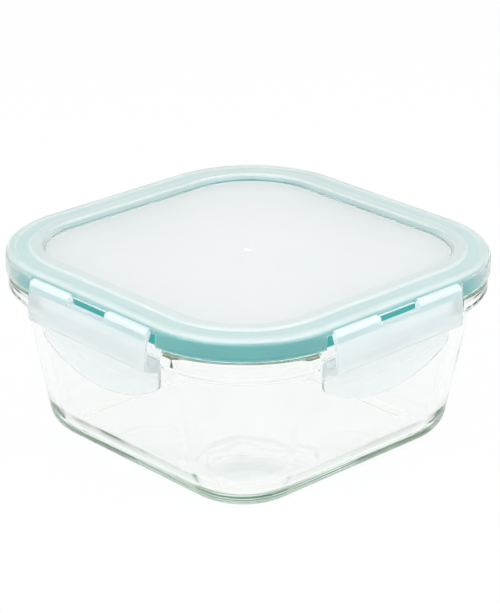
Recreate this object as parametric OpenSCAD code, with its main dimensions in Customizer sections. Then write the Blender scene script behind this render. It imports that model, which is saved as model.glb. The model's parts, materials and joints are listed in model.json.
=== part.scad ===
// Square glass food container with a one-piece snap lid.
// The glass bowl stands on its foot ring at z = 0, centred on the Z axis.
// Every rounded square here is a cross-section swept round four sides and four corners.
// In a cross-section, x is the distance from the Z axis to the middle of a side.

/* [Bowl] */
// Width over the locking rim, between flap sides
bowl_w = 139.8; // [110:0.1:200]
// Height of the glass
bowl_h = 63.5; // [52:0.5:110]
// Corner radius of the locking rim
bowl_corner_r = 35.15; // [28:0.05:42]
// Outward lean of the walls, in degrees
wall_draft = 10.6; // [6:0.1:13]
// Thickness of the glass wall
bowl_wall = 4.2; // [3.4:0.1:5]
// Thickness of the glass floor
floor_t = 5.6; // [4:0.1:8]
// Radius between wall and foot
base_r = 11; // [8:0.5:13]
// Radius inside, between wall and floor
inner_r = 9; // [6:0.5:12]
// Width of the foot ring
foot_w = 4; // [3:0.5:6]
// How far the underside is raised inside the foot ring
base_recess = 0.6; // [0.3:0.1:1.2]

/* [Glass rim] */
// Height of the locking rim on the flap sides
rim_h = 5; // [4:0.1:7]
// How far the corner flange stands out past the locking rim
flange_out = 4.4; // [3:0.1:6]
// Height of the straight edge of the corner flange
flange_edge_h = 4.4; // [3:0.1:6]
// Height of the sloping underside of the corner flange
flange_slope_h = 4.4; // [3:0.1:6]

/* [Lid] */
// Overhang of the lid past the corner flange
lid_overhang = 0.7; // [0.4:0.1:2]
// Corner radius of the lid
lid_corner_r = 42.4; // [36:0.1:48]
// Height of the lid skirt
skirt_h = 8.3; // [7:0.1:10]
// Gap between skirt and glass flange
skirt_gap = 0.8; // [0.4:0.1:1.5]
// Thickness of the skirt
skirt_t = 1.7; // [1.2:0.1:2]
// Rounding of the lid's outer edge
edge_r = 2.8; // [2:0.1:3.2]
// Width of the outer rim band, from the edge to the groove
band_w = 4; // [3.5:0.1:5]
// Width of the groove
groove_w = 5; // [3:0.1:6]
// Depth of the groove under the outer rim
groove_d = 0.3; // [0.1:0.1:0.6]
// Width of the inner ridge, with its sloping recess wall
ridge_w = 5.4; // [5:0.1:7]
// Height of the ridge above the outer rim
ridge_up = 0.65; // [0.3:0.05:1.2]
// Depth of the recessed panel under the ridge
panel_drop = 2.85; // [2:0.05:3.4]
// Thickness of the panel
panel_t = 1.7; // [1.2:0.1:2.4]
// Thickness of the channel roof above the seal
roof_t = 1.5; // [1.2:0.1:1.8]
// Depth of the plug wall inside the glass
plug_depth = 3.5; // [2:0.1:6]
// Thickness of the plug wall
plug_t = 1.7; // [1.2:0.1:2]
// Gap between plug wall and glass at the mouth
plug_gap = 0.6; // [0.4:0.1:1]
// Radius of the gate mark at the middle of the panel
gate_r = 1.6; // [1:0.1:3]

/* [Seal] */
// Clearance between seal and channel walls
seal_gap = 0.3; // [0.2:0.05:0.5]
// Clearance between the seal's foot and the glass
seat_gap = 0.1; // [0.05:0.05:0.2]
// Thickness of the seal's top web
seal_web = 3; // [2:0.1:3.4]
// Width of the seal's outer leg
seal_leg_w = 1.9; // [1.2:0.1:2.4]

/* [Flaps] */
// Width of each flap
flap_w = 63; // [40:0.5:64]
// Thickness of the flap's plate
flap_t = 1.5; // [1.2:0.1:1.8]
// How far the flap's lower lip hangs below the hinge line
flap_drop = 31.8; // [28:0.1:34]
// Height of the flap's corners above the middle of its lip
lip_rise = 9.6; // [6:0.1:11]
// Radius of the lip's lower corners
lip_corner_r = 4; // [2:0.5:6]
// How far the plate bulges out past the hinge line
flap_bulge = 2.4; // [1.8:0.1:3]
// Thickness of the lip
lip_t = 1.2; // [0.9:0.1:1.4]
// Gap between the flap's hook and the glass rim
hook_gap = 0.25; // [0.2:0.05:0.6]
// Width of the slot in the middle of the hinge line
slot_w = 19; // [10:0.5:26]
// Height of the slot
slot_h = 2.1; // [1.6:0.1:2.6]
// Radius of the slot's lower corners
slot_r = 0.7; // [0.3:0.1:1]
// Gap between a flap's ends and the skirt and flange beside it
side_gap = 2.4; // [1.5:0.1:3]

/* [Living hinges] */
// Distance of the hinge line outside the skirt
hinge_out = 0.6; // [0.4:0.1:0.8]
// Height of the hinge line below the lid's outer rim
hinge_down = 3.2; // [2.9:0.1:3.5]
// Radius of the bead at the end of the hinge film
bead_r = 0.5; // [0.4:0.02:0.6]
// Running clearance round the bead
bead_gap = 0.06; // [0.04:0.01:0.1]
// Thickness of the hinge film
film_t = 0.4; // [0.3:0.05:0.45]
// Angle that a flap opens through, in degrees
open_angle = 135; // [90:5:135]

/* [Hidden] */
$fn = 96;

// Angle of each flap side about Z
FRONT = 270;
RIGHT = 0;
BACK = 90;
LEFT = 180;

join = 0.5; // overlap of shapes fused into one solid
soft_r = 1; // small rounding of glass and plastic edges

// Bowl cross-section
rim_u = bowl_w / 2;
bowl_c = rim_u - bowl_corner_r;
lean = tan(wall_draft);
rim_step = 0.1; // the rim stands out past the tapered wall
rim_step_h = 1;
wall_top_u = rim_u - rim_step;
rim_z = bowl_h - rim_h;
foot_arc_u = wall_u(base_r) - base_r * tan(45 + wall_draft / 2) + base_r * lean;
inner_arc_z = floor_t + inner_r;
inner_arc_u = inside_u(inner_arc_z - inner_r * sin(wall_draft)) - inner_r * cos(wall_draft);

// Corner flange cross-section
flange_u = rim_u + flange_out;
flange_low_z = bowl_h - soft_r - flange_edge_h;
flange_root_u = rim_u - 2.4;
flange_low_r = 2; // rounding below the straight edge

// Lid cross-section
lid_u = flange_u + lid_overhang;
lid_c = lid_u - lid_corner_r;
skirt_z = bowl_h + skirt_gap;
lid_top_z = skirt_z + skirt_h;
skirt_in_u = lid_u - skirt_t;
band_in_u = lid_u - band_w;
groove_in_u = band_in_u - groove_w;
ridge_in_u = groove_in_u - ridge_w;
groove_z = lid_top_z - groove_d;
ridge_z = lid_top_z + ridge_up;
panel_z = ridge_z - panel_drop;
panel_low_z = panel_z - panel_t;
gate_h = 0.25;
roof_z = groove_z - roof_t;
plug_u = inside_u(bowl_h) - plug_gap - plug_depth * lean;
plug_in_u = plug_u - plug_t;
plug_z = bowl_h - plug_depth;
plug_chamfer = 0.5;
skirt_low_r = 0.4;
channel_chamfer = 0.8 * soft_r;
recess_slope_w = 1.7; // width of the recess wall with the rounding on top

// Seal cross-section
seal_in_u = plug_u + seal_gap;
seal_out_u = skirt_in_u - seal_gap;
seal_top_z = roof_z - seal_gap;
seal_low_z = bowl_h + seat_gap;
seal_web_z = seal_top_z - seal_web;
leg_low_z = seal_low_z + 0.6;
leg_low_r = 0.6;
foot_r = 0.5;
foot_in_u = inside_u(bowl_h) + soft_r;
foot_out_u = wall_top_u - soft_r;

// Flap cross-section, about the hinge line
hinge_u = lid_u + hinge_out;
hinge_z = lid_top_z - hinge_down;
knuckle_r = hinge_out + 0.5;
relief_gap = 0.15; // room round the knuckle in the lid's edge
relief_r = knuckle_r + relief_gap;
plate_u = hinge_u + flap_bulge;
hook_u = rim_u + hook_gap;
hook_z = rim_z - 0.5;
hook_h = 4.4; // from the hook's top to the shelf's underside
hook_w = 1.4;
shelf_z = hook_z - hook_h;
shelf_r = 2;
lip_bend_r = 1.3; // bend between shelf and lip
neck_u = hinge_u + 0.7 * flap_bulge; // where the plate leaves the knuckle
neck_z = hinge_z - 3.4;
full_z = hinge_z - 9; // where the plate reaches its full bulge
lip_out_u = hook_u + lip_t;
lip_z = hinge_z - flap_drop;
lip_r = (pow(flap_w / 2, 2) + pow(lip_rise, 2)) / (2 * lip_rise);
film_angle = 135; // direction of the film from the bead to the lid
cradle_margin = 27; // room for the film at each end of its turn
cradle_from = film_angle - open_angle - cradle_margin;
cradle_to = film_angle + cradle_margin;
notch_half = flap_w / 2 + side_gap;
notch_z = hinge_z - 0.4;
hinge_l = (flap_w - slot_w) / 2 - 1;
film_bite = 0.4; // how far the film reaches into the lid
flap_depth = 12; // room for a flap's whole cross-section
hinge_mid = (flap_w + slot_w) / 4;

// Outer and inner face of the tapered wall at height z
function wall_u(z) = wall_top_u - (bowl_h - z) * lean;
function inside_u(z) = wall_u(z) - bowl_wall;

// Points on an arc about (u, z)
function arc(u, z, r, from, to, steps = 6) = [
    for (i = [0 : steps])
        let (a = from + (to - from) * i / steps)
        [u + r * cos(a), z + r * sin(a)]
];

// Sweeps a cross-section round a square with corner centres at (centre, centre)
module sweep(centre) {
    for (side = [0 : 90 : 270]) {
        rotate([0, 0, side]) {
            rotate([90, 0, 0])
                linear_extrude(height = 2 * centre, center = true)
                    children();
            translate([centre, centre, 0])
                rotate_extrude(angle = 90)
                    translate([-centre, 0])
                        children();
        }
    }
}

// Plain rounded-square plate
module plate(half, centre, low, high) {
    translate([0, 0, low])
        linear_extrude(height = high - low) {
            square([2 * half, 2 * centre], center = true);
            square([2 * centre, 2 * half], center = true);
            for (x = [-centre, centre])
                for (y = [-centre, centre])
                    translate([x, y])
                        circle(r = half - centre);
        }
}

// Puts a flap's or hinge's cross-section on one side, along the side from t1 to t2
module along_side(side, t1, t2) {
    rotate([0, 0, side])
        translate([0, t2, 0])
            rotate([90, 0, 0])
                linear_extrude(height = t2 - t1)
                    children();
}

// Wall and floor of the bowl, from the middle of its corners outwards
module bowl_section() {
    polygon(concat(
        [
            [bowl_c, base_recess],
            [foot_arc_u - foot_w - base_recess, base_recess],
            [foot_arc_u - foot_w, 0]
        ],
        arc(foot_arc_u, base_r, base_r, 270, 360 - wall_draft, 9),
        [
            [wall_u(rim_z - rim_step_h), rim_z - rim_step_h],
            [rim_u, rim_z]
        ],
        arc(rim_u - soft_r, bowl_h - soft_r, soft_r, 0, 90, 4),
        arc(inside_u(bowl_h) + soft_r, bowl_h - soft_r, soft_r, 90, 180 - wall_draft, 4),
        arc(inner_arc_u, inner_arc_z, inner_r, 360 - wall_draft, 270, 8),
        [[bowl_c, floor_t]]
    ));
}

// Flange that widens the rim at the corners, under the lid's skirt
module flange_section() {
    polygon(concat(
        [[flange_root_u, bowl_h]],
        arc(flange_u - soft_r, bowl_h - soft_r, soft_r, 90, 0, 4),
        arc(flange_u - flange_low_r, flange_low_z, flange_low_r, 0, -50, 4),
        [
            [rim_u - 0.6, flange_low_z - flange_slope_h + 0.8],
            [flange_root_u, flange_low_z - flange_slope_h]
        ]
    ));
}

module glass_bowl() {
    color([0.86, 0.93, 0.9, 0.45]) {
        sweep(bowl_c)
            bowl_section();
        translate([-bowl_c - join / 10, -bowl_c - join / 10, base_recess])
            cube([2 * bowl_c + join / 5, 2 * bowl_c + join / 5, floor_t - base_recess]);
        difference() {
            sweep(lid_c)
                flange_section();
            for (side = [0 : 90 : 270])
                rotate([0, 0, side])
                    translate([wall_u(rim_z) - join, -notch_half, rim_z - 2 * rim_h])
                        cube([2 * flange_out + join, 2 * notch_half, 4 * rim_h]);
        }
    }
}

// Frame of the lid: recess wall, ridge, groove, outer rim, skirt and plug wall
module lid_section() {
    polygon(concat(
        [
            [ridge_in_u - 1, panel_z],
            [ridge_in_u, panel_z]
        ],
        arc(ridge_in_u + recess_slope_w, ridge_z - soft_r, soft_r, 160, 90, 4),
        arc(groove_in_u - soft_r, ridge_z - soft_r, soft_r, 90, 20, 4),
        [
            [groove_in_u + 0.4, groove_z],
            [band_in_u - 0.2, groove_z],
            [band_in_u + 0.4, lid_top_z]
        ],
        arc(lid_u - edge_r, lid_top_z - edge_r, edge_r, 90, 0, 8),
        arc(lid_u - skirt_low_r, skirt_z + skirt_low_r, skirt_low_r, 0, -90, 3),
        [
            [skirt_in_u, skirt_z],
            [skirt_in_u, roof_z - channel_chamfer],
            [skirt_in_u - channel_chamfer, roof_z],
            [plug_u, roof_z],
            [plug_u, plug_z + plug_chamfer],
            [plug_u - plug_chamfer, plug_z],
            [plug_in_u, plug_z],
            [plug_in_u, panel_low_z],
            [ridge_in_u - 1, panel_low_z]
        ]
    ));
}

// Clears the skirt behind a flap, and the space that the flap's knuckle turns in
module flap_clearance(side) {
    rotate([0, 0, side])
        translate([seal_out_u + 0.1, -notch_half, skirt_z - 1])
            cube([2 * skirt_t + 2, 2 * notch_half, notch_z - skirt_z + 1]);
    along_side(side, -flap_w / 2 - side_gap / 2, flap_w / 2 + side_gap / 2)
        translate([hinge_u, hinge_z])
            circle(r = relief_r);
}

module lid() {
    color([0.88, 0.95, 0.94, 0.8]) {
        difference() {
            sweep(lid_c)
                lid_section();
            for (side = [0 : 90 : 270])
                flap_clearance(side);
        }
        plate(ridge_in_u - 0.5, lid_c, panel_low_z, panel_z);
        translate([0, 0, panel_z - panel_t / 2])
            cylinder(r = gate_r, h = panel_t / 2 + gate_h);
    }
}

module seal_section() {
    polygon(concat(
        [[seal_in_u, seal_top_z]],
        arc(seal_out_u - soft_r, seal_top_z - soft_r, soft_r, 90, 0, 4),
        arc(seal_out_u - leg_low_r, leg_low_z + leg_low_r, leg_low_r, 0, -90, 3),
        [
            [seal_out_u - seal_leg_w, leg_low_z],
            [seal_out_u - seal_leg_w, seal_web_z],
            [foot_out_u, seal_web_z]
        ],
        arc(foot_out_u - foot_r, seal_low_z + foot_r, foot_r, 0, -90, 3),
        arc(foot_in_u + foot_r, seal_low_z + foot_r, foot_r, 270, 180, 3),
        [[seal_in_u, seal_web_z]]
    ));
}

module seal_ring() {
    color([0.3, 0.76, 0.72])
        sweep(lid_c)
            seal_section();
}

// Plate, hook, shelf and lip of a flap, with the open cradle that turns on the bead
module flap_section() {
    difference() {
        polygon(concat(
            arc(hinge_u, hinge_z, knuckle_r, -20, -45, 2),
            [
                [neck_u, neck_z],
                [plate_u, full_z]
            ],
            arc(plate_u - shelf_r, shelf_z + 3.6, shelf_r, 0, -62, 5),
            arc(lip_out_u + lip_bend_r, shelf_z - 0.7, lip_bend_r, 118, 180, 4),
            arc(hook_u + lip_t / 2, lip_z + lip_t / 2, lip_t / 2, 0, -180, 6),
            [
                [hook_u, hook_z - 1.2],
                [hook_u + 0.5, hook_z],
                [hook_u + hook_w, hook_z],
                [hook_u + hook_w + 1.2, shelf_z + 2.6],
                [plate_u - flap_t - 1.2, shelf_z + 3.4],
                [plate_u - flap_t, shelf_z + 4.8],
                [plate_u - flap_t, full_z],
                [neck_u - flap_t, neck_z]
            ],
            arc(hinge_u, hinge_z, knuckle_r, 215, 165, 3)
        ));
        translate([hinge_u, hinge_z]) {
            circle(r = bead_r + bead_gap);
            polygon(concat([[0, 0]], arc(0, 0, 2 * relief_r, cradle_from, cradle_to, 8)));
        }
    }
}

// Outline of a flap seen from outside: straight ends, arched lower edge with round corners
module flap_outline() {
    top = hinge_z + 2;
    end_t = flap_w / 2 - lip_corner_r;
    end_z = lip_z + lip_r - sqrt(pow(lip_r - lip_corner_r, 2) - pow(end_t, 2));
    turn = asin(end_t / (lip_r - lip_corner_r));
    difference() {
        polygon(concat(
            [[flap_w / 2, top]],
            arc(end_t, end_z, lip_corner_r, 0, turn - 90, 5),
            arc(0, lip_z + lip_r, lip_r, turn - 90, -turn - 90, 16),
            arc(-end_t, end_z, lip_corner_r, -turn - 90, -180, 5),
            [[-flap_w / 2, top]]
        ));
        polygon(concat(
            [[slot_w / 2, top + 1]],
            arc(slot_w / 2 - slot_r, hinge_z - slot_h + slot_r, slot_r, 0, -90, 3),
            arc(slot_r - slot_w / 2, hinge_z - slot_h + slot_r, slot_r, -90, -180, 3),
            [[-slot_w / 2, top + 1]]
        ));
    }
}

module flap(side) {
    color([0.93, 0.96, 0.97, 0.85])
        intersection() {
            along_side(side, -flap_w / 2, flap_w / 2)
                flap_section();
            rotate([0, 0, side])
                translate([rim_u - 2, 0, 0])
                    rotate([90, 0, 90])
                        linear_extrude(height = flap_depth)
                            flap_outline();
        }
}

// Film and bead that a flap turns on, at one end of a side
module hinge(side, end) {
    color([0.9, 0.96, 0.97, 0.85])
        along_side(side, end * hinge_mid - hinge_l / 2, end * hinge_mid + hinge_l / 2)
            translate([hinge_u, hinge_z]) {
                circle(r = bead_r);
                rotate(film_angle)
                    translate([0, -film_t / 2])
                        square([relief_r + film_bite, film_t]);
            }
}

module flap_front() { flap(FRONT); }
module flap_right() { flap(RIGHT); }
module flap_back() { flap(BACK); }
module flap_left() { flap(LEFT); }

module hinge_front_left() { hinge(FRONT, -1); }
module hinge_front_right() { hinge(FRONT, 1); }
module hinge_right_front() { hinge(RIGHT, -1); }
module hinge_right_back() { hinge(RIGHT, 1); }
module hinge_back_right() { hinge(BACK, -1); }
module hinge_back_left() { hinge(BACK, 1); }
module hinge_left_back() { hinge(LEFT, -1); }
module hinge_left_front() { hinge(LEFT, 1); }

glass_bowl();
lid();
seal_ring();
flap_front();
flap_right();
flap_back();
flap_left();
hinge_front_left();
hinge_front_right();
hinge_right_front();
hinge_right_back();
hinge_back_right();
hinge_back_left();
hinge_left_back();
hinge_left_front();
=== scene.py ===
# Square glass food container: clear pressed glass bowl, milky snap lid with four flaps, teal seal.
# Lengths are in metres. A cross-section is a list of (u, z): u is the distance out from the
# middle of the container to a side, z is the height above the table.
import bmesh
import bpy
import json
import math
import numpy as np
from mathutils import Matrix, Vector


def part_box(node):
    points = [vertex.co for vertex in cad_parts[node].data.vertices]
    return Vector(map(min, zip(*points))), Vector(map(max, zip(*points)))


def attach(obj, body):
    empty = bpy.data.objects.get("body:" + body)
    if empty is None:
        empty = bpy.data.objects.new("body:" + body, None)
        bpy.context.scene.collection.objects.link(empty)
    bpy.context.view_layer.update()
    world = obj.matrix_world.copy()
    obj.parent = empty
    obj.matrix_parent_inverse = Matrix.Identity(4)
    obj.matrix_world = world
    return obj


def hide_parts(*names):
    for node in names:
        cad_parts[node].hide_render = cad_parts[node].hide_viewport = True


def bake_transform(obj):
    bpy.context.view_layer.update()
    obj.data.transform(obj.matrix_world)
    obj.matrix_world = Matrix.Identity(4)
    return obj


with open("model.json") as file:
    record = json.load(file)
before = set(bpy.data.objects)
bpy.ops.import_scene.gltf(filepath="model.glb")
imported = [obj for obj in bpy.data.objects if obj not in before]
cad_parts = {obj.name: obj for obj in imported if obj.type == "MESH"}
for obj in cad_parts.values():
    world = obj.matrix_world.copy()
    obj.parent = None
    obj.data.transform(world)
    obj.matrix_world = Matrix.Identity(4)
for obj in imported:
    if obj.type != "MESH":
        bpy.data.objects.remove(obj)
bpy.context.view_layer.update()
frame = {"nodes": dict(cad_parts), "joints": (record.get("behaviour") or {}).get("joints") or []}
print("frame loaded:", len(frame["nodes"]), "nodes")

mm = 0.001
bowlLow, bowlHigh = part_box("glass_bowl")
lidLow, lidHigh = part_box("lid")
sealLow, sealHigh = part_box("seal_ring")
flapLow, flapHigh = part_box("flap_right")
hingeJoint = next(j for j in frame["joints"] if j["name"] == "right_flap_hinge")
hingeU, hingeZ = hingeJoint["pos_m"][0], hingeJoint["pos_m"][2]
rimZ = bowlHigh.z
rimU = flapLow.x - 0.25 * mm  # the flap's hook clears the locking rim by this much


# Shader nodes, written as sums

class Socket:
    def __init__(self, tree, link):
        self.tree, self.link = tree, link

    def maths(self, operation, other, swap=False):
        values = [other, self] if swap else [self, other]
        return self.tree.add("ShaderNodeMath", {"operation": operation}, dict(enumerate(values)))

    def __radd__(self, other):
        return self.maths("ADD", other, True)

    def __mul__(self, other):
        return self.maths("MULTIPLY", other)

    def __rmul__(self, other):
        return self.maths("MULTIPLY", other, True)

    def most(self, other):
        return self.maths("MAXIMUM", other)


class Shader:
    def __init__(self, name):
        self.material = bpy.data.materials.new(name)
        self.material.use_nodes = True
        self.nodes = self.material.node_tree.nodes
        self.links = self.material.node_tree.links
        self.nodes.clear()
        self.output = self.nodes.new("ShaderNodeOutputMaterial")

    def add(self, kind, settings=None, sockets=None, out=0):
        node = self.nodes.new(kind)
        for key, value in (settings or {}).items():
            setattr(node, key, value)
        for key, value in (sockets or {}).items():
            if isinstance(value, Socket):
                self.links.new(value.link, node.inputs[key])
            else:
                node.inputs[key].default_value = value
        return Socket(self, node.outputs[out])

    # The colour sockets of a Mix node are numbers 6 and 7 going in, and 2 coming out
    def blendColour(self, share, first, second):
        return self.add("ShaderNodeMix", {"data_type": "RGBA"}, {0: share, 6: first, 7: second}, 2)

    def noise(self, scale, detail):
        return self.add("ShaderNodeTexNoise", None,
                        {"Vector": self.position(), "Scale": scale, "Detail": detail})

    def bumped(self, height, strength, depth):
        return self.add("ShaderNodeBump", None,
                        {"Height": height, "Strength": strength, "Distance": depth})

    def position(self):
        return self.add("ShaderNodeTexCoord", None, None, "Object")

    def finish(self, surface, volume=None):
        self.links.new(surface.link, self.output.inputs["Surface"])
        if volume:
            self.links.new(volume.link, self.output.inputs["Volume"])
        return self.material


def ramp(shader, value, low, high):
    return shader.add("ShaderNodeMapRange", {"interpolation_type": "SMOOTHSTEP"},
                      {"Value": value, "From Min": low, "From Max": high})


# Cross-sections and sweeps

def roundCorner(here, toLast, toNext, radius, steps):
    turn = math.pi - math.acos(np.clip(toLast @ toNext, -1, 1))
    if turn < 0.01:  # in line: the same number of points, spread out
        return [here + (toNext - toLast) / 2 * radius * (2 * k / steps - 1) for k in range(steps + 1)]
    half = (math.pi - turn) / 2
    centre = here + (toLast + toNext) / np.linalg.norm(toLast + toNext) * radius / math.sin(half)
    start = here + toLast * radius / math.tan(half) - centre
    stop = here + toNext * radius / math.tan(half) - centre
    points = []
    for k in range(steps + 1):
        share = k / steps
        reach = math.sin((1 - share) * turn) * start + math.sin(share * turn) * stop
        points.append(centre + reach / math.sin(turn))
    return points


# Corners are (u, z, radius), and a radius of 0 leaves one point. Each straight stretch gets a point
# near either end, which keeps the shading of the flat even.
def roundPath(corners, steps=6, closed=False):
    groups = []
    for i, (u, z, radius) in enumerate(corners):
        here = np.array([u, z])
        if radius <= 0:
            groups.append([here])
            continue
        toLast = np.array(corners[i - 1][:2]) - here
        toNext = np.array(corners[(i + 1) % len(corners)][:2]) - here
        toLast /= np.linalg.norm(toLast)
        toNext /= np.linalg.norm(toNext)
        groups.append(roundCorner(here, toLast, toNext, radius, steps))
    points = []
    for i, group in enumerate(groups):
        points += group
        if i + 1 == len(groups) and not closed:
            break
        following = groups[(i + 1) % len(groups)][0]
        stretch = following - group[-1]
        step = stretch * min(0.3, 0.35 * mm / max(np.linalg.norm(stretch), 1e-9))
        points += [group[-1] + step, following - step]
    return np.array(points)


def smooth(value, low, high):
    t = min(max((value - low) / (high - low), 0), 1)
    return t * t * (3 - 2 * t)


def inset(points, depth):  # a closed section, pulled in all round
    lead, lag = np.roll(points, -1, 0), np.roll(points, 1, 0)
    along = lead - lag
    along /= np.linalg.norm(along, axis=1)[:, None]
    area = np.sum(points[:, 0] * lead[:, 1] - lead[:, 0] * points[:, 1])
    inward = np.stack([-along[:, 1], along[:, 0]], 1) * (1 if area > 0 else -1)
    return points + inward * depth


def makeMesh(name, vertices, faces, material, sharp=35):
    mesh = bpy.data.meshes.new(name)
    mesh.from_pydata([tuple(v) for v in vertices], [], faces)
    mesh.materials.append(material)
    piece = bpy.data.objects.new(name, mesh)
    bpy.context.scene.collection.objects.link(piece)
    tidyMesh(piece, sharp)
    return piece


def tidyMesh(piece, sharp=35):
    work = bmesh.new()
    work.from_mesh(piece.data)
    bmesh.ops.remove_doubles(work, verts=work.verts, dist=2e-6)
    bmesh.ops.dissolve_degenerate(work, edges=work.edges, dist=1e-6)
    bmesh.ops.recalc_face_normals(work, faces=work.faces)
    limit = math.radians(sharp)
    for face in work.faces:
        face.smooth = True
    for edge in work.edges:
        edge.smooth = edge.calc_face_angle(0) < limit
    work.to_mesh(piece.data)
    work.free()


def giveAttribute(piece, name, valueAt):
    data = piece.data.attributes.new(name, "FLOAT", "POINT").data
    for item, vertex in zip(data, piece.data.vertices):
        item.value = valueAt(vertex.co)


def outward(point, centre):  # how far out from the middle a point lies, on the ring's own scale
    x, y = abs(point.x), abs(point.y)
    if x > centre and y > centre:
        return centre + math.hypot(x - centre, y - centre)
    return max(x, y)


# Degrees into a corner, closer together near the sides, where a flange or a skirt begins
cornerStart = [0.4, 0.8, 1.2, 1.8, 2.4, 3.2, 4.2, 5.6, 8]
cornerAngles = cornerStart + list(range(11, 80, 3)) + [90 - a for a in reversed(cornerStart)]
sideShares = np.linspace(-0.8, 0.8, 9)


# Each stop on the way round is (side number, place along the side, None)
# or (side number, None, angle in the corner)
def ringStops(centre, marks):
    along = sorted(set([-centre, centre] + marks + [-m for m in marks] + list(sideShares * centre)))
    stops = []
    for side in range(4):
        stops += [(side, t, None) for t in along]
        stops += [(side, None, math.radians(a)) for a in cornerAngles]
    return stops


def ringPoint(centre, stop, u):
    side, along, angle = stop
    x, y = u, along
    if angle is not None:
        x = centre + (u - centre) * math.cos(angle)
        y = centre + (u - centre) * math.sin(angle)
    turn = side * math.pi / 2
    return x * math.cos(turn) - y * math.sin(turn), x * math.sin(turn) + y * math.cos(turn)


# The skin of a closed section swept past a row of stops, with both ends capped
def tubeFaces(rows, size):
    faces = []
    for i in range(rows - 1):
        here, there = i * size, (i + 1) * size
        for k in range(size):
            after = (k + 1) % size
            faces.append((here + k, there + k, there + after, here + after))
    return faces + [list(range(size)), [(rows - 1) * size + k for k in range(size)]]


def sweepRing(name, centre, marks, sectionAt, material):
    stops = ringStops(centre, marks)
    vertices = []
    for stop in stops:
        section = sectionAt(stop)
        vertices += [(*ringPoint(centre, stop, u), z) for u, z in section]
    size = len(section)
    faces = []
    for i in range(len(stops)):
        j = (i + 1) % len(stops)
        faces += [(i * size + k, j * size + k, j * size + k + 1, i * size + k + 1) for k in range(size - 1)]
    faces.append([i * size for i in range(len(stops))])
    faces.append([i * size + size - 1 for i in range(len(stops))])
    return makeMesh(name, vertices, faces, material)


# Glass bowl

bowl = {
    "cornerCentre": 34.75 * mm,
    "lean": math.tan(math.radians(10.6)),
    "wall": 4.2 * mm,
    "floor": 5.6 * mm,
    "recess": 0.6 * mm,
    "footIn": 44.8 * mm,
    "baseRound": 11 * mm,
    "insideRound": 9 * mm,
    "rimHeight": 5 * mm,
    "lipRound": 1.4 * mm,
    "flangeEdge": 5.2 * mm,
    "flangeSlope": 4 * mm,
    "flangeStart": 33.9 * mm,
    "flangeBlend": 1.6 * mm,
    "flangeMark": 0.4 * mm,
    "roundSteps": 9,
    "rimStep": 0.1 * mm,
    "colour": (0.983, 0.984, 0.985, 1),
    "ior": 1.5,
    "rippleScale": 45.0,
    "rippleStrength": 0.16,
    "rippleDepth": 1 * mm,
    "smearScale": 60.0,
    "smearRange": (0.5, 0.9),
    "smearRoughness": 0.02,
    "tint": (0.72, 0.92, 0.70, 1),
    "tintDensity": 5.0,
    "shadowTint": (0.9, 0.95, 0.93, 1),
}
lidCentre = lidHigh.x - 42.4 * mm
flangeU = bowlHigh.x


def wallAt(z):
    return rimU - bowl["rimStep"] - (rimZ - z) * bowl["lean"]


def insideAt(z):
    return wallAt(z) - bowl["wall"]


def bowlSection(flanged):
    middle = bowl["cornerCentre"] + 0.2 * mm
    edgeLow = rimZ - bowl["flangeEdge"]
    slopeLow = edgeLow - bowl["flangeSlope"]
    ledge = rimZ - bowl["rimHeight"]
    rim = [
        (wallAt(ledge - 1.6 * mm), ledge - 1.6 * mm, 0.5 * mm),
        (rimU - bowl["rimStep"], ledge - 0.2 * mm, 0.3 * mm),
        (rimU, ledge + 1 * mm, 0.3 * mm),
        (rimU, rimZ, bowl["lipRound"]),
    ]
    if flanged:
        rim = [
            (wallAt(slopeLow), slopeLow, 2 * mm),
            (flangeU - 1 * mm, edgeLow - 1.4 * mm, 1.2 * mm),
            (flangeU, edgeLow + 0.4 * mm, 0.8 * mm),
            (flangeU, rimZ, bowl["lipRound"]),
        ]
    return roundPath([
        (middle, bowl["recess"], 0),
        (bowl["footIn"] - 4 * mm, bowl["recess"], 6 * mm),
        (bowl["footIn"] + 1 * mm, 0, 6 * mm),
        (wallAt(0), 0, bowl["baseRound"]),
        *rim,
        (insideAt(rimZ), rimZ, bowl["lipRound"]),
        (insideAt(bowl["floor"]), bowl["floor"], bowl["insideRound"]),
        (middle, bowl["floor"], 0),
    ], bowl["roundSteps"])


def flangeReach(stop):  # the flange keeps the lid's outline, whose corners turn about another centre
    along, angle = stop[1:]
    radius = flangeU - lidCentre
    if angle is None:
        past = max(0, abs(along) - lidCentre)
        return lidCentre + math.sqrt(radius ** 2 - past ** 2)
    gap = bowl["cornerCentre"] - lidCentre
    lean = gap * (math.cos(angle) + math.sin(angle))
    return bowl["cornerCentre"] - lean + math.sqrt(lean ** 2 - 2 * gap ** 2 + radius ** 2)


def bowlSections():
    plain, flanged = bowlSection(False), bowlSection(True)
    centre, start = bowl["cornerCentre"], bowl["flangeStart"]

    def sectionAt(stop):
        along, angle = stop[1:]
        reach = flangeReach(stop)
        if angle is None:
            tangent = abs(along)
        else:
            tangent = centre + (reach - centre) * min(math.sin(angle), math.cos(angle))
        share = smooth(tangent, start, start + bowl["flangeBlend"])
        section = flanged.copy()
        for point in section:
            out = (point[0] - wallAt(point[1])) / (flangeU - wallAt(point[1]))
            point[0] -= max(0, out) * (flangeU - reach)
        return plain + (section - plain) * share

    return sectionAt


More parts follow.
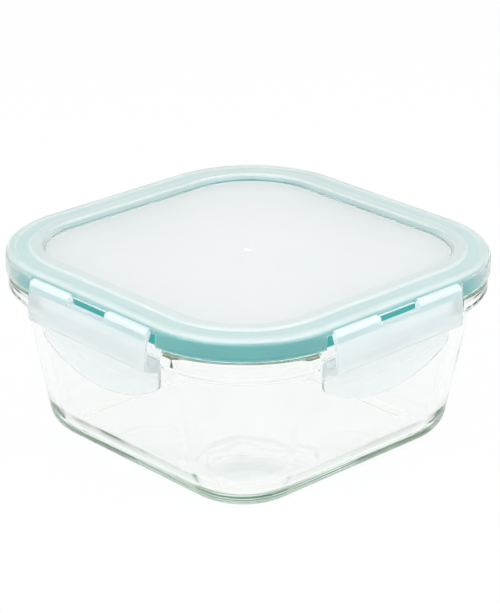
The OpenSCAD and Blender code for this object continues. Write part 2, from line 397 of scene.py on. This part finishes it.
def glassMaterial():
    shader = Shader("ClearGlass")
    ripple = shader.noise(bowl["rippleScale"], 1.0)
    bump = shader.bumped(ripple, bowl["rippleStrength"], bowl["rippleDepth"])
    smears = shader.noise(bowl["smearScale"], 3.0)
    surface = shader.add("ShaderNodeBsdfPrincipled", None, {
        "Base Color": bowl["colour"], "IOR": bowl["ior"], "Transmission Weight": 1.0, "Normal": bump,
        "Roughness": ramp(shader, smears, *bowl["smearRange"]) * bowl["smearRoughness"]})
    clear = shader.add("ShaderNodeBsdfTransparent", None, {"Color": bowl["shadowTint"]})
    shadow = shader.add("ShaderNodeLightPath", None, None, "Is Shadow Ray")
    mixed = shader.add("ShaderNodeMixShader", None, {0: shadow, 1: surface, 2: clear})
    depth = shader.add("ShaderNodeVolumeAbsorption", None,
                       {"Color": bowl["tint"], "Density": bowl["tintDensity"]})
    return shader.finish(mixed, depth)


def makeBowl():
    centre = bowl["cornerCentre"]
    marks = [bowl["flangeStart"], bowl["flangeStart"] + bowl["flangeMark"]]
    piece = sweepRing("GlassBowl", centre, marks, bowlSections(), glassMaterial())
    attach(piece, "bowl")
    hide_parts("glass_bowl")
    print("bowl made:", len(piece.data.polygons), "faces")


# Milky plastic, shared by the lid, the flaps and the hinge films

plastic = {
    "lidColour": (0.955, 0.972, 0.972, 1),
    # ringColour is painted shade: the same plastic made darker and teal-tinted on the rim and ridge, like
    # the seal seen beneath
    "ringColour": (0.915, 0.965, 0.957, 1),
    # flapColour is painted light: the same plastic made brighter and bluer on the flaps and hinge films, as
    # if lit more from the front
    "flapColour": (0.960, 0.985, 1.000, 1),
    "cloudColour": (0.930, 0.960, 0.965, 1),
    "clearColour": (0.98, 0.995, 1.0, 1),
    "clearRoughness": 0.17,
    "milkRoughness": 0.42,
    "roughnessSpread": 0.06,
    "cloudScale": 35.0,
    "cloudRange": (0.35, 0.7),
    "cloudShare": 0.5,
    "ringMilk": (0.825, 0.85),
    "lidGrain": 900.0,
    "flapGrain": 1200.0,
    "grainStrength": 0.05,
    "grainDepth": 0.1 * mm,
    "ior": 1.49,
    "through": 0.55,
    "shadowTint": (0.80, 0.84, 0.84, 1),
}


def plasticMaterial(name, milkColour, grainScale, shadedRing):
    shader = Shader(name)
    cloud = shader.noise(plastic["cloudScale"], 2.0)
    bump = shader.bumped(shader.noise(grainScale, 1.0), plastic["grainStrength"], plastic["grainDepth"])
    milk = shader.add("ShaderNodeAttribute", {"attribute_name": "milk"}, None, "Fac")
    if shadedRing:  # the rim and ridge are less milky than the panel, and take a darker, teal-tinted copy of its colour: painted shade, tinted like the seal beneath
        ringShadeShare = ramp(shader, milk, *plastic["ringMilk"])
        milkColour = shader.blendColour(ringShadeShare, plastic["ringColour"], milkColour)
    cloudiness = ramp(shader, cloud, *plastic["cloudRange"]) * plastic["cloudShare"]
    colour = shader.blendColour(cloudiness, milkColour, plastic["cloudColour"])
    spread = plastic["roughnessSpread"] * cloud
    gloss = shader.add("ShaderNodeBsdfPrincipled", None, {
        "Base Color": colour, "Roughness": plastic["milkRoughness"] + spread,
        "IOR": plastic["ior"], "Normal": bump})
    glow = shader.add("ShaderNodeBsdfTranslucent", None, {"Color": colour, "Normal": bump})
    milky = shader.add("ShaderNodeMixShader", None, {0: plastic["through"], 1: gloss, 2: glow})
    clear = shader.add("ShaderNodeBsdfPrincipled", None, {
        "Base Color": plastic["clearColour"], "Roughness": plastic["clearRoughness"] + spread,
        "IOR": plastic["ior"], "Transmission Weight": 1.0, "Normal": bump})
    body = shader.add("ShaderNodeMixShader", None, {0: milk, 1: clear, 2: milky})
    passing = shader.add("ShaderNodeBsdfTransparent", None, {"Color": plastic["shadowTint"]})
    shadow = shader.add("ShaderNodeLightPath", None, None, "Is Shadow Ray")
    return shader.finish(shader.add("ShaderNodeMixShader", None, {0: shadow, 1: body, 2: passing}))


# Lid

lid = {
    "skirtLow": 64.3 * mm,
    "rimTop": 72.6 * mm,
    "skirt": 1.7 * mm,
    "edgeRound": 2.8 * mm,
    "band": 4 * mm,
    "groove": 5 * mm,
    "grooveDepth": 0.3 * mm,
    "ridge": 5.4 * mm,
    "panelDrop": 2.85 * mm,
    "panelThick": 1.7 * mm,
    "roof": 1.5 * mm,
    "plugIn": 62.65 * mm,
    "plugThick": 1.7 * mm,
    "plugLow": 60 * mm,
    "notch": 33.9 * mm,
    "notchTop": 69 * mm,
    "reliefGap": 1.27 * mm,
    "reliefTop": 1.15 * mm,
    "slotStep": 0.12 * mm,
    "stepHalf": 0.02 * mm,
    "panelMilk": 0.86,
    "gateMilk": 0.6,
    "rimMilk": 0.78,
    "grooveMilk": 0.74,
    "ridgeMilk": 0.82,
    "wallMilk": 0.55,
    "skirtMilk": 0.02,
    "insideMilk": 0.05,
}


def lidSection(kind):
    edge, top, ridgeTop = lidHigh.x, lid["rimTop"], lidHigh.z
    bandIn = edge - lid["band"]
    grooveIn = bandIn - lid["groove"]
    ridgeIn = grooveIn - lid["ridge"]
    grooveZ = top - lid["grooveDepth"]
    roof = grooveZ - lid["roof"]
    panel = ridgeTop - lid["panelDrop"]
    panelLow = panel - lid["panelThick"]
    skirtIn = edge - lid["skirt"]
    plugOut = lid["plugIn"] + lid["plugThick"]
    middle = lidCentre + 0.2 * mm
    cut = hingeU - lid["reliefGap"]
    # spare corners in the rim give each kind of section the same number of points
    rim = [
        (edge, top - 3.6 * mm, 0.1 * mm),
        (edge, top - 4.4 * mm, 0.1 * mm),
        (edge, top - 5.2 * mm, 0.1 * mm),
        (edge, lid["skirtLow"], 0.4 * mm),
        (skirtIn, lid["skirtLow"], 0.3 * mm),
    ]
    notchZ = hingeZ + lid["reliefTop"]
    fall = notchZ - (top - lid["edgeRound"])
    notchU = edge - lid["edgeRound"] + math.sqrt(lid["edgeRound"] ** 2 - fall ** 2)
    if kind != "skirted":
        rim = [
            (edge, notchZ, 0.05 * mm),
            (cut + 0.3 * mm, hingeZ + 0.9 * mm, 0.25 * mm),
            (cut, hingeZ + 0.2 * mm, 0.2 * mm),
            (cut, lid["notchTop"], 0.1 * mm),
            (skirtIn, lid["notchTop"], 0.15 * mm),
        ]
    if kind == "slotted":
        rim[:4] = [
            (edge, hingeZ + 0.37 * mm, 0.01 * mm),
            (edge, hingeZ + 0.34 * mm, 0.01 * mm),
            (edge, hingeZ + 0.31 * mm, 0.01 * mm),
            (edge, hingeZ + 0.2 * mm, 0.05 * mm),
        ]
        rim[4] = (skirtIn, hingeZ + 0.2 * mm, 0.05 * mm)
    section = roundPath([
        (middle, panel, 0),
        (ridgeIn - 0.5 * mm, panel, 1 * mm),
        (ridgeIn + 1.2 * mm, ridgeTop, 0.9 * mm),
        (grooveIn - 0.1 * mm, ridgeTop, 0.8 * mm),
        (grooveIn + 0.5 * mm, grooveZ, 0.5 * mm),
        (bandIn - 0.3 * mm, grooveZ, 0.3 * mm),
        (bandIn + 0.4 * mm, top, 0.3 * mm),
        (edge, top, lid["edgeRound"]),
        *rim,
        (skirtIn, roof, 0.6 * mm),
        (plugOut, roof, 0.4 * mm),
        (plugOut, lid["plugLow"], 0.6 * mm),
        (lid["plugIn"], lid["plugLow"], 0.6 * mm),
        (lid["plugIn"], panelLow, 0.5 * mm),
        (middle, panelLow, 0),
    ])
    if kind == "notched":  # the rounded edge stops where the flap's relief begins
        past = (section[:, 0] > notchU) & (section[:, 1] < notchZ + 0.05 * mm)
        section[past] = (notchU, notchZ)
    return section


def lidMilk(point):  # how milky the plastic is: most on the panel and rim, least on the skirt
    out = outward(point, lidCentre)
    roof = lid["rimTop"] - lid["grooveDepth"] - lid["roof"]
    panel = lidHigh.z - lid["panelDrop"]
    ridgeIn = lidHigh.x - lid["band"] - lid["groove"] - lid["ridge"]
    if out < ridgeIn - 0.6 * mm:
        return lid["panelMilk"] if point.z > panel - lid["panelThick"] / 2 else lid["insideMilk"]
    if point.z < roof + 0.1 * mm and out < lidHigh.x - 0.4 * mm:
        return lid["insideMilk"]
    if out < ridgeIn + 1.4 * mm and point.z < lidHigh.z - 0.4 * mm:
        return lid["wallMilk"]
    if out < ridgeIn + lid["ridge"]:
        return lid["ridgeMilk"]
    if out < lidHigh.x - lid["band"]:
        return lid["grooveMilk"]
    share = smooth(point.z, lid["rimTop"] - 2.4 * mm, lid["rimTop"] + 0.1 * mm)
    return lid["skirtMilk"] + (lid["rimMilk"] - lid["skirtMilk"]) * share


def makeLid(material):
    skirted, notched, slotted = lidSection("skirted"), lidSection("notched"), lidSection("slotted")

    stepAt = flap["slotHalf"] - lid["slotStep"]

    def sectionAt(stop):
        along, angle = stop[1:]
        if angle is None:
            tangent = abs(along)
        else:
            tangent = lidCentre + (lidHigh.x - lidCentre) * min(math.sin(angle), math.cos(angle))
        if tangent > lid["notch"]:
            return skirted
        return notched if tangent > stepAt else slotted

    marks = [stepAt - lid["stepHalf"], stepAt + lid["stepHalf"]]
    piece = sweepRing("SnapLid", lidCentre, marks, sectionAt, material)
    giveAttribute(piece, "milk", lidMilk)
    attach(piece, "lid_body")
    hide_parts("lid")
    print("lid made:", len(piece.data.polygons), "faces")


# Seal, swept round the lid's channel by Geometry Nodes

seal = {
    "web": 3 * mm,
    "leg": 1.9 * mm,
    "legLow": 64.2 * mm,
    "footIn": 66.6 * mm,
    "footOut": 68.8 * mm,
    "bead": 0.5 * mm,
    "plugGap": 0.3 * mm,
    "pathRadius": 1 * mm,
    "cornerSteps": 28,
    "roundSteps": 4,
    "sharp": 40,
    "colour": (0.045, 0.370, 0.355, 1),
    "colourDeep": (0.045, 0.350, 0.340, 1),
    "roughness": 0.36,
    "roughnessSpread": 0.1,
    "ior": 1.43,
    "cloudScale": 70.0,
    "cloudRange": (0.35, 0.65),
    "grainScale": 1600.0,
    "grainStrength": 0.15,
    "grainDepth": 0.1 * mm,
    "glowWeight": 0.25,
    "glowRadius": (0.4, 1.0, 0.9),
    "glowScale": 1.5 * mm,
}


def sweepTree(material):
    tree = bpy.data.node_groups.new("SectionRoundSquare", "GeometryNodeTree")
    face = tree.interface
    face.new_socket("Section", in_out="INPUT", socket_type="NodeSocketGeometry")
    sizes = {}
    for label, value in (("Half Size", 0.05), ("Corner Radius", 0.001)):
        sizes[label] = face.new_socket(label, in_out="INPUT", socket_type="NodeSocketFloat")
        sizes[label].default_value = value
    sizes["Corner Steps"] = face.new_socket("Corner Steps", in_out="INPUT", socket_type="NodeSocketInt")
    face.new_socket("Ring", in_out="OUTPUT", socket_type="NodeSocketGeometry")
    make, join = tree.nodes.new, tree.links.new
    given, result = make("NodeGroupInput"), make("NodeGroupOutput")
    square, fillet = make("GeometryNodeCurvePrimitiveQuadrilateral"), make("GeometryNodeFilletCurve")
    fillet.mode = "POLY"
    twice = make("ShaderNodeMath")
    twice.operation = "MULTIPLY"
    twice.inputs[1].default_value = 2.0
    sweep, real = make("GeometryNodeCurveToMesh"), make("GeometryNodeRealizeInstances")
    dress = make("GeometryNodeSetMaterial")
    dress.inputs["Material"].default_value = material
    join(given.outputs["Half Size"], twice.inputs[0])
    join(twice.outputs[0], square.inputs["Width"])
    join(twice.outputs[0], square.inputs["Height"])
    join(square.outputs[0], fillet.inputs["Curve"])
    join(given.outputs["Corner Radius"], fillet.inputs["Radius"])
    join(given.outputs["Corner Steps"], fillet.inputs["Count"])
    join(fillet.outputs[0], sweep.inputs["Curve"])
    join(given.outputs["Section"], sweep.inputs["Profile Curve"])
    join(sweep.outputs[0], real.inputs[0])
    join(real.outputs[0], dress.inputs[0])
    join(dress.outputs[0], result.inputs[0])
    return tree, {label: socket.identifier for label, socket in sizes.items()}


def sectionCurve(name, points):
    data = bpy.data.curves.new(name, "CURVE")
    data.dimensions = "3D"
    spline = data.splines.new("POLY")
    spline.points.add(len(points) - 1)
    for place, (x, y) in zip(spline.points, points):
        place.co = (x, y, 0, 1)
    spline.use_cyclic_u = True
    piece = bpy.data.objects.new(name, data)
    bpy.context.scene.collection.objects.link(piece)
    return piece


def sealSection():
    inner, outer = lid["plugIn"] + lid["plugThick"] + seal["plugGap"], sealHigh.x
    web = sealHigh.z - seal["web"]
    return roundPath([
        (inner, sealHigh.z, 0.3 * mm),
        (outer, sealHigh.z, 1 * mm),
        (outer, seal["legLow"] + 1.2 * mm, 0.15 * mm),
        (outer - 0.35 * mm, seal["legLow"] + 0.95 * mm, 0.15 * mm),
        (outer, seal["legLow"] + 0.7 * mm, 0.15 * mm),
        (outer, seal["legLow"], 0.35 * mm),
        (outer - seal["leg"], seal["legLow"], 0.5 * mm),
        (outer - seal["leg"], web, 0.5 * mm),
        (seal["footOut"], web, 0.5 * mm),
        (seal["footOut"], sealLow.z, seal["bead"]),
        (seal["footIn"], sealLow.z, seal["bead"]),
        (inner, web, 0.6 * mm),
    ], seal["roundSteps"], True)


def siliconeMaterial():
    shader = Shader("TealSilicone")
    cloud = shader.noise(seal["cloudScale"], 3.0)
    bump = shader.bumped(shader.noise(seal["grainScale"], 1.0), seal["grainStrength"], seal["grainDepth"])
    colour = shader.blendColour(ramp(shader, cloud, *seal["cloudRange"]), seal["colour"], seal["colourDeep"])
    return shader.finish(shader.add("ShaderNodeBsdfPrincipled", None, {
        "Base Color": colour, "Roughness": seal["roughness"] + seal["roughnessSpread"] * cloud,
        "IOR": seal["ior"], "Normal": bump, "Subsurface Weight": seal["glowWeight"],
        "Subsurface Radius": seal["glowRadius"], "Subsurface Scale": seal["glowScale"]}))


def plainMesh(holder, name):
    modified = holder.evaluated_get(bpy.context.evaluated_depsgraph_get())
    mesh = bpy.data.meshes.new_from_object(modified)
    bpy.data.objects.remove(holder)
    piece = bpy.data.objects.new(name, mesh)
    mesh.name = name
    bpy.context.scene.collection.objects.link(piece)
    return piece


def makeSeal():
    pathRadius = seal["pathRadius"]
    section = [(u - lidCentre - pathRadius, -z) for u, z in sealSection()]
    holder = sectionCurve("SealSection", section)
    tree, inputs = sweepTree(siliconeMaterial())
    modifier = holder.modifiers.new("Sweep", "NODES")
    modifier.node_group = tree
    modifier[inputs["Half Size"]] = lidCentre + pathRadius
    modifier[inputs["Corner Radius"]] = pathRadius
    modifier[inputs["Corner Steps"]] = seal["cornerSteps"]
    piece = plainMesh(holder, "SealRing")
    tidyMesh(piece, seal["sharp"])
    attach(piece, "lid_body")
    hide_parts("seal_ring")
    print("seal made:", len(piece.data.polygons), "faces", [round(v, 5) for v in piece.dimensions])


# Flaps

flap = {
    "plate": 1.5 * mm,
    "hook": 58 * mm,
    "shelf": 53.6 * mm,
    "lip": 1.2 * mm,
    "lipRise": 9.6 * mm,
    "lipCorner": 4 * mm,
    "slotHalf": 9.5 * mm,
    "slotDeep": 2.1 * mm,
    "slotRound": 0.7 * mm,
    "endRound": 0.45 * mm,
    "endReach": 4 * mm,
    "outerSkin": 0.02 * mm,
    "knuckle": 1.05 * mm,
    "knuckleTop": 0.75 * mm,
    "milk": 0.46,
    "lipMilk": 0.12,
    "roundSteps": 5,
    "sharp": 45,
    "slotStops": 6,
    "plainStops": 12,
}
sides = {"front": 270, "right": 0, "back": 90, "left": 180}  # degrees from the +X side


def sidePoint(side, u, t, z):  # a section point, at a place t along one side
    turn = math.radians(sides[side])
    return u * math.cos(turn) - t * math.sin(turn), u * math.sin(turn) + t * math.cos(turn), z


def flapSection():
    hookU, plateU = flapLow.x, flapHigh.x - flap["outerSkin"]
    lipOut, lipLow = hookU + flap["lip"], flapLow.z
    knuckle, knuckleZ = flap["knuckle"], hingeZ + flap["knuckleTop"]
    inner = plateU - flap["plate"]
    return roundPath([
        (hingeU + knuckle - 0.15 * mm, knuckleZ, 0.55 * mm),
        (hingeU + 1.75 * mm, hingeZ - 3.6 * mm, 48 * mm),
        (plateU, hingeZ - 9 * mm, 42 * mm),
        (plateU, flap["shelf"] + 2 * mm, 1.9 * mm),
        (plateU - 2 * mm, flap["shelf"] + 0.9 * mm, 0.9 * mm),
        (lipOut + 0.5 * mm, flap["shelf"] - 0.4 * mm, 0.8 * mm),
        (lipOut, flap["shelf"] - 3 * mm, 1.2 * mm),
        (lipOut - 0.12 * mm, lipLow, 0.5 * mm),
        (hookU + 0.02 * mm, lipLow, 0.45 * mm),
        (hookU, flap["hook"] - 1.2 * mm, 0.6 * mm),
        (hookU + 0.5 * mm, flap["hook"], 0.3 * mm),
        (hookU + 1.4 * mm, flap["hook"], 0.3 * mm),
        (hookU + 2.6 * mm, flap["shelf"] + 2.6 * mm, 0.8 * mm),
        (inner - 1.2 * mm, flap["shelf"] + 3.2 * mm, 1 * mm),
        (inner, flap["shelf"] + 5 * mm, 1 * mm),
        (inner, hingeZ - 9 * mm, 14 * mm),
        (hingeU + 0.2 * mm, hingeZ - 3.4 * mm, 3 * mm),
        (hingeU - knuckle + 0.05 * mm, hingeZ - 0.5 * mm, 0.5 * mm),
        (hingeU - knuckle + 0.35 * mm, knuckleZ, 0.5 * mm),
    ], flap["roundSteps"], True)


def lipHeight(t):  # lower edge of the lip at a place along the flap
    half, rise, corner = flapHigh.y, flap["lipRise"], flap["lipCorner"]
    radius = (half ** 2 + rise ** 2) / (2 * rise)
    centreZ = flapLow.z + radius
    cornerT = half - corner
    cornerZ = centreZ - math.sqrt((radius - corner) ** 2 - cornerT ** 2)
    if abs(t) < cornerT * radius / (radius - corner):
        return centreZ - math.sqrt(radius ** 2 - t ** 2)
    return cornerZ - math.sqrt(max(0, corner ** 2 - (abs(t) - cornerT) ** 2))


def slotHeight(t):  # top edge of the flap at a place along it
    low, half, corner = hingeZ - flap["slotDeep"], flap["slotHalf"], flap["slotRound"]
    if abs(t) >= half:
        return 1.0
    past = max(0, abs(t) - half + corner)
    return low + corner - math.sqrt(corner ** 2 - past ** 2)


def flapStops():
    half, slot, corner = flapHigh.y, flap["slotHalf"], flap["slotRound"]
    rounding, reach = flap["endRound"], flap["endReach"]
    turns = [math.sin(math.radians(a)) for a in range(15, 91, 15)]
    stops = list(np.linspace(0, slot - corner, flap["slotStops"]))
    stops += [slot - corner + corner * s for s in turns]
    stops += [slot + 0.02 * mm] + list(np.linspace(slot + 1 * mm, half - reach, flap["plainStops"]))
    stops += [half - reach + (reach - rounding) * s for s in turns]
    stops = [(t, 0) for t in stops]
    for a in (30, 60, 90):
        turn = math.radians(a)
        stops.append((half - rounding * (1 - math.sin(turn)), rounding * (1 - math.cos(turn))))
    return [(-t, d) for t, d in reversed(stops[1:])] + stops


def makeFlap(name, material):
    base = flapSection()
    blendTop = flap["shelf"] - 1.5 * mm
    stops = flapStops()
    vertices = []
    for t, depth in stops:
        section = inset(base, depth) if depth else base.copy()
        shrink = (blendTop - lipHeight(t)) / (blendTop - flapLow.z)
        lower = section[:, 1] < blendTop
        section[lower, 1] = blendTop + (section[lower, 1] - blendTop) * max(shrink, 0.1)
        section[:, 1] = np.minimum(section[:, 1], slotHeight(t))
        vertices += [sidePoint(name, u, t, z) for u, z in section]
    piece = makeMesh("Flap." + name, vertices, tubeFaces(len(stops), len(base)), material, flap["sharp"])
    lipTop = flap["shelf"] - 2 * mm
    giveAttribute(piece, "milk", lambda p: flap["lipMilk"] if p.z < lipTop else flap["milk"])
    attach(piece, name + "_flap")
    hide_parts("flap_" + name)


# Living hinges: a thin film on either side of each slot

film = {
    "thick": 0.3 * mm,
    "slotGap": 0.5 * mm,
    "endGap": 0.5 * mm,
    "milk": 0.5,
    "edgeShare": 0.3,
    "stops": 8,
    "sharp": 50,
    # the outer skin from lid to flap, in millimetres out from and above the hinge line
    "bend": [(-0.74, 1.5), (-0.55, 1.28), (-0.2, 1.16), (0.25, 1.12),
             (0.65, 0.94), (0.95, 0.62), (1.12, 0.15), (1.2, -0.7)],
}


def filmSection():
    bend = np.array([(hingeU + u * mm, hingeZ + z * mm) for u, z in film["bend"]])
    shares = np.linspace(0, 1, 4)[:3, None]
    fine = [bend[i] + (bend[i + 1] - bend[i]) * shares for i in range(len(bend) - 1)]
    fine = np.concatenate(fine + [bend[-1:]])
    along = np.gradient(fine, axis=0)
    along /= np.linalg.norm(along, axis=1)[:, None]
    last = len(fine) - 1
    thin = film["edgeShare"]
    depth = film["thick"] * np.interp(np.arange(last + 1), [0, 3, last - 3, last], [thin, 1, 1, thin])
    under = fine + np.stack([along[:, 1], -along[:, 0]], 1) * depth[:, None]
    return np.concatenate([fine, under[::-1]])


def makeFilm(sideName, hand, name, material):
    section = filmSection()
    turn = math.radians(sides[sideName])
    near, far = flap["slotHalf"] + film["slotGap"], flapHigh.y - film["endGap"]
    stops = [hand * t for t in np.linspace(near, far, film["stops"])]
    vertices = [sidePoint(sideName, u, t, z) for t in stops for u, z in section]
    faces = tubeFaces(len(stops), len(section))
    piece = makeMesh("HingeFilm." + name, vertices, faces, material, film["sharp"])
    giveAttribute(piece, "milk", lambda p: film["milk"])

    def across(u, z):
        return (u * math.cos(turn), u * math.sin(turn), z)

    across(hingeU - 0.3 * mm, hingeZ + 1.5 * mm)
    across(hingeU + 1.1 * mm, hingeZ + 0.1 * mm)
    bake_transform(piece)
    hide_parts("hinge_" + sideName + "_" + name.split(".")[1])


# Mark left where the lid's plastic was injected

gate = {
    # radius and height above the panel, in millimetres
    "rings": [(0.25, 0.02), (0.7, 0.03), (1.2, 0.06), (1.45, 0.05), (1.6, -0.02), (1.6, -0.3)],
    "count": 40,
    "sharp": 50,
}


def makeGate(material):
    panel, count = lidHigh.z - lid["panelDrop"], gate["count"]
    vertices = []
    for r, z in gate["rings"]:
        for k in range(count):
            turn = 2 * math.pi * k / count
            vertices.append((r * mm * math.cos(turn), r * mm * math.sin(turn), panel + z * mm))
    faces = tubeFaces(len(gate["rings"]), count)
    piece = makeMesh("GateMark", vertices, faces, material, gate["sharp"])
    giveAttribute(piece, "milk", lambda p: lid["gateMilk"])
    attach(piece, "lid_body")


print("sections ready")

clearPlastic = plasticMaterial("MilkyPlastic", plastic["lidColour"], plastic["lidGrain"], True)
# the flaps and hinge films take the brighter, bluer copy of the plastic: painted light
litFlapPlastic = plasticMaterial("MilkyFlapPlastic", plastic["flapColour"], plastic["flapGrain"], False)
makeBowl()
makeLid(clearPlastic)
makeSeal()
for sideName in sides:
    makeFlap(sideName, litFlapPlastic)
print("flaps made")
filmEnds = {
    "front": ("left", "right"),
    "right": ("front", "back"),
    "back": ("right", "left"),
    "left": ("back", "front"),
}
for sideName, (first, second) in filmEnds.items():
    makeFilm(sideName, -1, sideName + "." + first, litFlapPlastic)
    makeFilm(sideName, 1, sideName + "." + second, litFlapPlastic)
makeGate(clearPlastic)
print("films and gate mark made")


# Camera, floor and lights

studio = {
    "cameraAt": (0.612025, -0.577124, 0.401217),
    "azimuth": 46.626,
    "elevation": 22.783,
    "roll": 0.13,
    "lens": 145.40,
    "floorHalf": 4.0,
    "floorDrop": 0.05 * mm,
    "floorColour": (0.86, 0.865, 0.87, 1),
    "floorPatch": (0.83, 0.84, 0.845, 1),
    "patchScale": 3.0,
    "patchRange": (0.3, 0.7),
    "patchShare": 0.2,
    "floorWhite": 0.9,
    "worldHigh": 1.08,
    "worldLow": 1.2,
    "worldSpan": (-0.1, 0.8),
    "key": 5.4,
    "keyAt": (0.15, -0.95, 0.75),
    "fill": 4.9,
    "fillAt": (0.95, 0.25, 0.75),
    "lightSize": (0.9, 0.9),
    "aimAt": (0, 0, 0.05),
    "bounces": 32,  # light is turned back many times inside the glass, which also counts as glossy
}


def placeCamera():
    a, e, r = (math.radians(studio[k]) for k in ("azimuth", "elevation", "roll"))
    back = Vector((math.sin(a) * math.cos(e), -math.cos(a) * math.cos(e), math.sin(e)))
    right = Vector((math.cos(a), math.sin(a), 0))
    up = back.cross(right)
    right, up = right * math.cos(r) + up * math.sin(r), up * math.cos(r) - right * math.sin(r)
    data = bpy.data.cameras.new("Camera")
    data.lens = studio["lens"]
    data.sensor_width = 36
    data.clip_start = 0.01
    camera = bpy.data.objects.new("Camera", data)
    turn = Matrix((right, up, back)).transposed().to_4x4()
    camera.matrix_world = Matrix.Translation(studio["cameraAt"]) @ turn
    bpy.context.scene.collection.objects.link(camera)
    bpy.context.scene.camera = camera


def makeFloor():
    shader = Shader("PaleFloor")
    patches = ramp(shader, shader.noise(studio["patchScale"], 2.0), *studio["patchRange"])
    patches = patches * studio["patchShare"]
    colour = shader.blendColour(patches, studio["floorColour"], studio["floorPatch"])
    matt = shader.add("ShaderNodeBsdfDiffuse", None, {"Color": colour})
    white = shader.add("ShaderNodeEmission", None, {"Color": (1, 1, 1, 1), "Strength": 1.0})
    seen = shader.add("ShaderNodeLightPath", None, None, "Is Camera Ray")
    through = shader.add("ShaderNodeLightPath", None, None, "Is Transmission Ray")
    whiteness = seen.most(through) * studio["floorWhite"]
    mixed = shader.add("ShaderNodeMixShader", None, {0: whiteness, 1: matt, 2: white})
    material = shader.finish(mixed)
    half, z = studio["floorHalf"], -studio["floorDrop"]
    corners = [(-half, -half, z), (half, -half, z), (half, half, z), (-half, half, z)]
    mesh = bpy.data.meshes.new("Floor")
    mesh.from_pydata(corners, [], [(0, 1, 2, 3)])
    mesh.materials.append(material)
    floor = bpy.data.objects.new("Floor", mesh)
    bpy.context.scene.collection.objects.link(floor)


def makeWorld():
    world = bpy.data.worlds.new("Studio")
    world.use_nodes = True
    nodes, links = world.node_tree.nodes, world.node_tree.links
    nodes.clear()
    place = nodes.new("ShaderNodeTexCoord")
    split = nodes.new("ShaderNodeSeparateXYZ")
    span = nodes.new("ShaderNodeMapRange")
    span.inputs["From Min"].default_value = studio["worldSpan"][0]
    span.inputs["From Max"].default_value = studio["worldSpan"][1]
    span.inputs["To Min"].default_value = studio["worldLow"]
    span.inputs["To Max"].default_value = studio["worldHigh"]
    sky, plain = nodes.new("ShaderNodeBackground"), nodes.new("ShaderNodeBackground")
    plain.inputs["Strength"].default_value = 1.0
    plain.inputs["Color"].default_value = (1, 1, 1, 1)
    light, mixed = nodes.new("ShaderNodeLightPath"), nodes.new("ShaderNodeMixShader")
    seen = nodes.new("ShaderNodeMath")
    seen.operation = "MAXIMUM"
    out = nodes.new("ShaderNodeOutputWorld")
    links.new(place.outputs["Generated"], split.inputs[0])
    links.new(split.outputs["Z"], span.inputs["Value"])
    links.new(span.outputs[0], sky.inputs["Strength"])
    links.new(light.outputs["Is Camera Ray"], seen.inputs[0])
    links.new(light.outputs["Is Transmission Ray"], seen.inputs[1])
    links.new(seen.outputs[0], mixed.inputs[0])
    links.new(sky.outputs[0], mixed.inputs[1])
    links.new(plain.outputs[0], mixed.inputs[2])
    links.new(mixed.outputs[0], out.inputs["Surface"])
    bpy.context.scene.world = world


def areaLight(name, place, power):
    data = bpy.data.lights.new(name, "AREA")
    data.shape = "RECTANGLE"
    data.size, data.size_y = studio["lightSize"]
    data.energy = power
    light = bpy.data.objects.new(name, data)
    light.location = place
    aim = Vector(studio["aimAt"]) - Vector(place)
    light.rotation_euler = aim.to_track_quat("-Z", "Y").to_euler()
    bpy.context.scene.collection.objects.link(light)


placeCamera()
makeFloor()
makeWorld()
areaLight("KeySoftbox", studio["keyAt"], studio["key"])
areaLight("FillSoftbox", studio["fillAt"], studio["fill"])
bpy.context.scene.view_settings.view_transform = "Standard"
bpy.context.scene.cycles.max_bounces = studio["bounces"]
bpy.context.scene.cycles.transmission_bounces = studio["bounces"]
bpy.context.scene.cycles.glossy_bounces = studio["bounces"]
print("studio ready")
